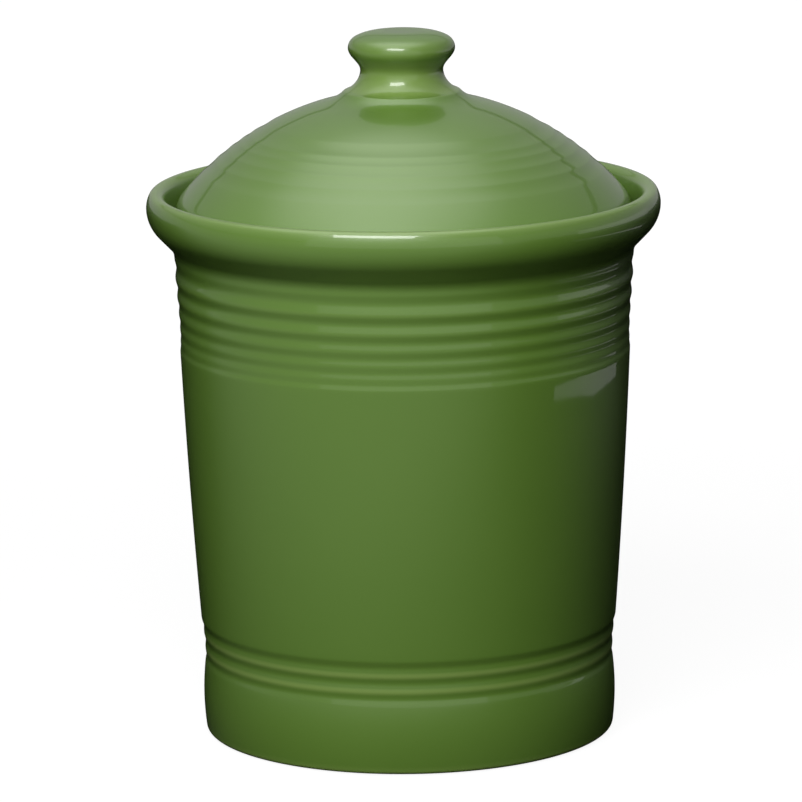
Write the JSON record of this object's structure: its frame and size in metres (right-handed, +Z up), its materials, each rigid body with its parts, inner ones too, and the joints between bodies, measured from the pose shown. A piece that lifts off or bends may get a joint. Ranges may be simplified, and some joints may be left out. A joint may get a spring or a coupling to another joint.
{
  "type": "canister",
  "caption": "Round glazed stoneware kitchen canister with ringed walls, a rolled rim and a domed lift-off lid with a mushroom knob and a seal ring in its neck.",
  "frame": {"origin": "centre of the foot ring on the table, on the turning axis", "axes": "+Z up along the turning axis, from the foot to the knob; the canister looks the same from every side, so X and Y are free, and the picture was taken from -Y"},
  "size_m": [0.1636, 0.1636, 0.2256],
  "materials": {
    "green_glaze": "glossy leaf-green glaze on stoneware, thinner and lighter on crests, pooled and darker in grooves",
    "silicone": "translucent white moulded silicone, satin"
  },
  "bodies": {
    "jar": {"jar": "green_glaze"},
    "seal": {"seal_ring": "silicone"},
    "lid": {"lid": "green_glaze"}
  },
  "joints": [
    {"name": "lid_lift", "type": "slide", "parent": "jar", "child": "seal", "axis": [0, 0, 1], "range_m": [0, 0.08]},
    {"name": "lid_turn", "type": "hinge", "parent": "seal", "child": "lid", "pos_m": [0, 0, 0.1655], "axis": [0, 0, 1], "continuous": true}
  ]
}
